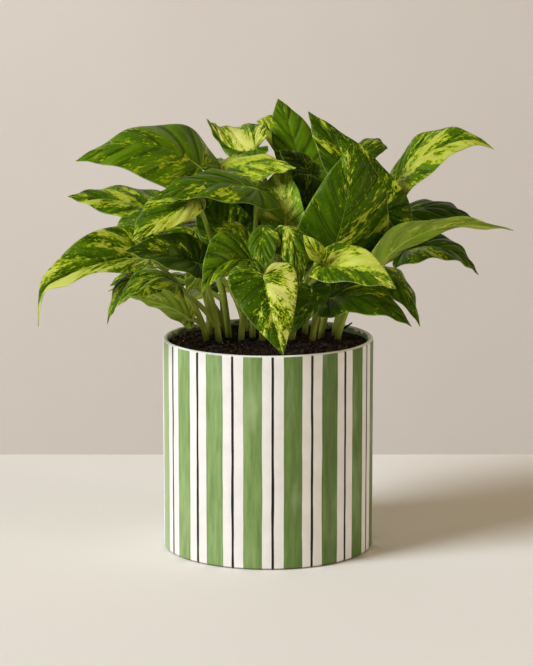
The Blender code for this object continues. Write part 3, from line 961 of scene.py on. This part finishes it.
def add_blade(shell, leaf, number):
    """A blade with a groove along its rib, puffed between its veins, and rippled along its margin."""
    places = np.linspace(0, len(OUTLINE) - 1, BLADE_ROWS)
    spread = np.linspace(-1, 1, BLADE_COLUMNS)
    columns = np.sign(spread) * abs(spread) ** COLUMN_PULL
    out = abs(columns)
    vein, along, half = smooth_outline(places).T[..., None]
    t = vein + (along - vein) * out ** VEIN_SWEEP
    share = half / WIDE_SHARE * out
    station = rib_point(leaf, WIDE_STATION)
    wing = np.where(columns[:, None] > 0, leaf.left - station, leaf.right - station)
    breadth = np.linalg.norm(wing, axis=-1)
    top = top_side(leaf, t)
    bow = BOW * breadth * share * (1 - out)
    hang = np.array(HANGS.get(leaf.name, (0, 0, 0))) * MM
    hanging = np.maximum(0, (t - HANG_FROM) / (1 - HANG_FROM)) ** 2
    sheet = rib_point(leaf, t) + wing * share[..., None] + top * bow[..., None]
    sheet += hang * hanging[..., None]

    normal = sheet_normals(sheet, top)
    length = np.linalg.norm(leaf.tip - leaf.joint)
    to_tip = 1 - np.clip(t, 0, 1)
    groove = np.exp(-(share * breadth / GROOVE_WIDTH) ** 2)
    relief = QUILT * blade_puffs(places, out, half) - GROOVE * groove * to_tip
    relief += RIPPLE * length * blade_ripples(random.Random(number), places, columns, half)
    thick = BLADE_THICKNESS * (1 - MARGIN_THINNING * out ** 4) / 2
    upper = sheet + normal * (relief + thick)[..., None]
    lower = sheet + normal * (relief - thick - RIDGE * groove * to_tip)[..., None]

    left, right, pale, tone = LOOKS[leaf.name]
    side = np.clip(columns / RIB_BLEND, -1, 1) * 0.5 + 0.5
    yellow = right + (left - right) * side
    veins = point_rows(t.shape, places[:, None], columns, number * SEED_STEP)
    looks = point_rows(t.shape, yellow, pale, tone)
    points = np.concatenate([upper.reshape(-1, 3), lower.reshape(-1, 3)])
    faces, slots = blade_faces()
    shell.add(points, faces, slots, np.concatenate([veins, veins]), np.concatenate([looks, looks]))


# Petioles

def curve_point(points, t):
    """Points on the cubic curve with four control points."""
    a, b, c, d = points
    t = np.asarray(t)[..., None]
    s = 1 - t
    return a * s ** 3 + b * (3 * s * s * t) + c * (3 * s * t * t) + d * t ** 3


def add_petiole(shell, foot, leaf, main_route, branch, number):
    """A petiole from the soil or from a fork on the main one, which runs out under the rib."""
    neck = leaf.joint - top_side(leaf, 0) * NECK_DROP
    if main_route is None:
        start = foot + np.array((0, 0, SOIL_LEVEL + STEM_RISE))
        centres = [foot + np.array((0, 0, SOIL_LEVEL - STEM_DEPTH))]
        radii = [FOOT_RADIUS]
        thick = FOOT_RADIUS
    else:
        start = curve_point(main_route, branch)
        centres = []
        radii = []
        thick = FORK_RADIUS
    span = neck - start
    route = (start, start + span * START_LEAN, neck - span * NECK_LEAN, neck)
    shares = np.linspace(0, 1, STEM_STEPS)
    centres += list(curve_point(route, shares))
    radii += list(thick + (NECK_RADIUS - thick) * shares)
    for reach, radius in KEEL:
        centres.append(rib_point(leaf, reach) - top_side(leaf, reach) * KEEL_DROP)
        radii.append(radius)
    add_tube(shell, np.array(centres), np.array(radii), number, PETIOLE_SLOT)
    return route


def stalk_width(angle):
    """A stalk's radius at an angle round it, as a share: a shallow channel on top, with raised edges."""
    from_top = (angle - math.pi / 2 + math.pi) % (2 * math.pi) - math.pi
    edges = EDGE_RISE * math.exp(-((abs(from_top) - EDGE_ANGLE) / EDGE_SPREAD) ** 2)
    channel = CHANNEL_DEPTH * math.exp(-(from_top / CHANNEL_SPREAD) ** 2)
    return 1 + edges - channel


def add_tube(shell, centres, radii, number, slot):
    """A slim stalk through the centres, closed at both ends."""
    last = len(centres) - 1
    angles = np.linspace(0, 2 * math.pi, STEM_SIDES, endpoint=False)
    across = np.array((1.0, 0.0, 0.0))
    points = []
    veins = []
    run = 0.0
    for i, centre in enumerate(centres):
        ahead = unit(centres[min(i + 1, last)] - centres[max(i - 1, 0)])
        across = unit(across - ahead * np.dot(across, ahead))
        up = np.cross(ahead, across)
        if i:
            run += np.linalg.norm(centre - centres[i - 1])
        for angle in angles:
            outward = across * math.cos(angle) + up * math.sin(angle)
            points.append(centre + outward * radii[i] * stalk_width(angle))
            veins.append((run / FIBRE_PACE, math.cos(angle), number * SEED_STEP))
    faces = []
    for i in range(last):
        for side in range(STEM_SIDES):
            a = i * STEM_SIDES + side
            b = i * STEM_SIDES + (side + 1) % STEM_SIDES
            faces.append((a, b, b + STEM_SIDES, a + STEM_SIDES))
    faces.append(tuple(reversed(range(STEM_SIDES))))
    faces.append(tuple(range(last * STEM_SIDES, (last + 1) * STEM_SIDES)))
    shell.add(np.array(points), faces, [slot] * len(faces), np.array(veins), np.zeros((len(points), 3)))


def weld(obj):
    """Merges the points that meet at each blade's joint and tip."""
    sheet = bmesh.new()
    sheet.from_mesh(obj.data)
    bmesh.ops.remove_doubles(sheet, verts=sheet.verts, dist=WELD_GAP)
    bmesh.ops.recalc_face_normals(sheet, faces=sheet.faces)
    sheet.to_mesh(obj.data)
    sheet.free()


def make_stems():
    materials = [leaf_top_finish(), leaf_under_finish(), petiole_finish()]
    number = 0
    for name, (across, back) in FEET.items():
        foot = np.array((across, back, 0)) * MM
        if name in FRONT_LEAVES:
            leaves = [front_leaf(*row) for row in FRONT_LEAVES[name]]
        else:
            leaves = [back_leaf(*row) for row in BACK_LEAVES[name]]
        shell = Shell()
        main_route = None
        for leaf, branch in zip(leaves, BRANCH_SHARES):
            number += 1
            route = add_petiole(shell, foot, leaf, main_route, branch, number)
            main_route = main_route or route
            add_blade(shell, leaf, number)
        obj = shell.make(name + "_foliage", materials)
        weld(obj)
        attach(obj, "root")
        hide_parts(name)


# Pot

def turned(name, profile, segments, material):
    """A closed solid turned about Z from (radius, height) points, whose first and last radius is 0."""
    points = [(0, 0, profile[0][1])]
    for radius, height in profile[1:-1]:
        for i in range(segments):
            angle = 2 * math.pi * i / segments
            points.append((radius * math.cos(angle), radius * math.sin(angle), height))
    points.append((0, 0, profile[-1][1]))
    faces = []
    rings = len(profile) - 2
    for i in range(segments):
        j = (i + 1) % segments
        faces.append((0, 1 + i, 1 + j))
        for ring in range(rings - 1):
            a = 1 + ring * segments
            faces.append((a + i, a + segments + i, a + segments + j, a + j))
        a = 1 + (rings - 1) * segments
        faces.append((a + i, len(points) - 1, a + j))
    return new_object(name, points, faces, [material])


def rounded(centre, radius, start, end, steps):
    """Points of an arc in the profile plane, angles in degrees."""
    arc = []
    for step in range(steps + 1):
        angle = math.radians(start + (end - start) * step / steps)
        arc.append((centre[0] + radius * math.cos(angle), centre[1] + radius * math.sin(angle)))
    return arc


def make_pot():
    corner = (POT_INNER - POT_CORNER, POT_FLOOR + POT_CORNER)
    lip = (POT_RADIUS - POT_LIP, POT_HEIGHT - POT_LIP)
    foot = (POT_RADIUS - POT_FOOT_EDGE, POT_FOOT_EDGE)
    profile = [(0, POT_FLOOR), (FLOOR_RING, POT_FLOOR)]
    profile += rounded(corner, POT_CORNER, CORNER_START, 0, CORNER_STEPS)
    profile += [(POT_INNER, height) for height in INSIDE_RINGS]
    profile += rounded(lip, POT_LIP, 180, 0, LIP_STEPS)
    profile += [(POT_RADIUS, POT_HEIGHT * share) for share in OUTSIDE_RINGS]
    profile += rounded(foot, POT_FOOT_EDGE, 0, -90, FOOT_STEPS)
    profile += [(FOOT_RING, 0), (0, 0)]
    pot = turned("striped_pot", profile, POT_SEGMENTS, pot_finish())
    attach(pot, "root")
    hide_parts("pot")


# Soil and what lies on it

def make_soil():
    profile = [(0, SOIL_LEVEL)]
    profile += [(SOIL_RADIUS * ring / SOIL_RINGS, SOIL_LEVEL) for ring in range(1, SOIL_RINGS + 1)]
    profile += [(SOIL_RADIUS, SOIL_FLOOR + POT_CORNER), (SOIL_RADIUS - POT_CORNER, SOIL_FLOOR)]
    profile.append((0, SOIL_FLOOR))
    soil = turned("soil_bed", profile, SOIL_SEGMENTS, soil_finish("potting_soil", SOIL_SHADES))
    for vert in soil.data.vertices:
        if vert.co.z < SOIL_LEVEL - MM:
            continue
        lumps = sum(noise.noise(vert.co * scale) * height for scale, height in SOIL_LUMPS)
        edge = vert.co.xy.length / SOIL_RADIUS
        vert.co.z += lumps * MM * (1 - SOIL_EDGE_CALM * edge ** 4)
    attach(soil, "root")
    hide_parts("soil")


def strewn(draw, count, reach):
    """Spots spread evenly over the soil."""
    spots = []
    for _ in range(count):
        radius = reach * math.sqrt(draw.random())
        angle = draw.uniform(0, 2 * math.pi)
        spots.append((radius * math.cos(angle), radius * math.sin(angle)))
    return spots


def beside_feet(draw):
    """Spots in a ring round each petiole's foot."""
    spots = []
    for across, back in FEET.values():
        for _ in range(FOOT_CRUMBS):
            radius = FOOT_RADIUS + draw.uniform(*FOOT_CRUMB_GAPS) * MM
            angle = draw.uniform(0, 2 * math.pi)
            spots.append((across * MM + radius * math.cos(angle), back * MM + radius * math.sin(angle)))
    return spots


def ball():
    """Points and faces of a small faceted ball."""
    seedling = bmesh.new()
    bmesh.ops.create_icosphere(seedling, subdivisions=1, radius=1)
    points = [vert.co.copy() for vert in seedling.verts]
    faces = [[vert.index for vert in face.verts] for face in seedling.faces]
    seedling.free()
    return points, faces


def make_crumbs(name, draw, spots, sizes, material):
    """Irregular lumps on the soil, most of them small, as one object."""
    corners, sides = ball()
    small, large = sizes
    points = []
    faces = []
    for x, y in spots:
        size = small + (large - small) * draw.random() ** 3
        centre = Vector((x, y, SOIL_LEVEL + draw.uniform(*CRUMB_HEIGHTS) * MM))
        stretch = Vector([draw.uniform(*limits) for limits in CRUMB_STRETCH])
        first = len(points)
        for corner in corners:
            dent = noise.noise(corner * CRUMB_DENT_SCALE + centre * CRUMB_DENT_SHIFT)
            points.append(centre + corner * stretch * size * (1 + CRUMB_DENTS * dent))
        faces += [[first + corner for corner in side] for side in sides]
    obj = new_object(name, [tuple(point) for point in points], faces, [material])
    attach(obj, "root")


def make_litter():
    """Bark crumbs, pale grains and one dry twig on the soil."""
    bark = soil_finish("soil_bark", BARK_SHADES)
    grit = soil_finish("soil_grit", GRIT_SHADES)
    draw = random.Random(CRUMB_SEED)
    spots = strewn(draw, CRUMBS, SOIL_RADIUS - max(CRUMB_SIZES)) + beside_feet(draw)
    make_crumbs("soil_crumbs", draw, spots, CRUMB_SIZES, bark)
    spots = strewn(draw, GRAINS, SOIL_RADIUS - max(GRAIN_SIZES))
    make_crumbs("soil_perlite", draw, spots, GRAIN_SIZES, grit)

    shell = Shell()
    add_tube(shell, np.array(TWIG) * MM, np.array(TWIG_RADII) * MM, number=1, slot=0)
    obj = shell.make("soil_twig", [bark])
    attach(obj, "root")


# Stage, light and camera

def make_stage():
    for name, side, near, far, material, shades in STAGE:
        corners = [(-side, *near), (side, *near), (side, *far), (-side, *far)]
        obj = new_object(name, corners, [(0, 1, 2, 3)], [stage_finish(material, shades)])


def make_lamps():
    for name, place, target, width, power, colour in LAMPS:
        light = bpy.data.lights.new(name, "AREA")
        light.shape = "DISK"
        light.size = width
        light.energy = power
        light.color = colour
        obj = add_object(name, light)
        obj.location = place
        direction = Vector(target) - Vector(place)
        obj.rotation_euler = direction.to_track_quat("-Z", "Y").to_euler()


def make_sky():
    """Even light from all round, a little darker from above."""
    world = bpy.data.worlds.new("studio")
    world.use_nodes = True
    nodes = world.node_tree.nodes
    links = world.node_tree.links
    background = nodes["Background"]
    background.inputs["Strength"].default_value = 1.0
    direction = nodes.new("ShaderNodeTexCoord").outputs["Generated"]
    height = nodes.new("ShaderNodeSeparateXYZ")
    links.new(direction, height.inputs[0])
    ramp = nodes.new("ShaderNodeValToRGB")
    links.new(height.outputs["Z"], ramp.inputs["Fac"])
    low, high = ramp.color_ramp.elements
    low.position = 0.0
    low.color = SKY_LOW
    high.position = SKY_HIGH_FROM
    high.color = SKY_HIGH
    links.new(ramp.outputs["Color"], background.inputs["Color"])
    bpy.context.scene.world = world


def make_camera():
    view = bpy.context.scene.view_settings
    view.view_transform = "Standard"
    view.look = "None"
    data = bpy.data.cameras.new("camera")
    data.lens = LENS
    data.sensor_width = SENSOR
    camera = add_object("camera", data)
    camera.location = EYE
    camera.rotation_euler = (math.radians(90 - LOOK_DOWN), 0, 0)
    bpy.context.scene.camera = camera


make_camera()
make_stage()
make_sky()
make_lamps()
make_pot()
make_soil()
make_litter()
make_stems()
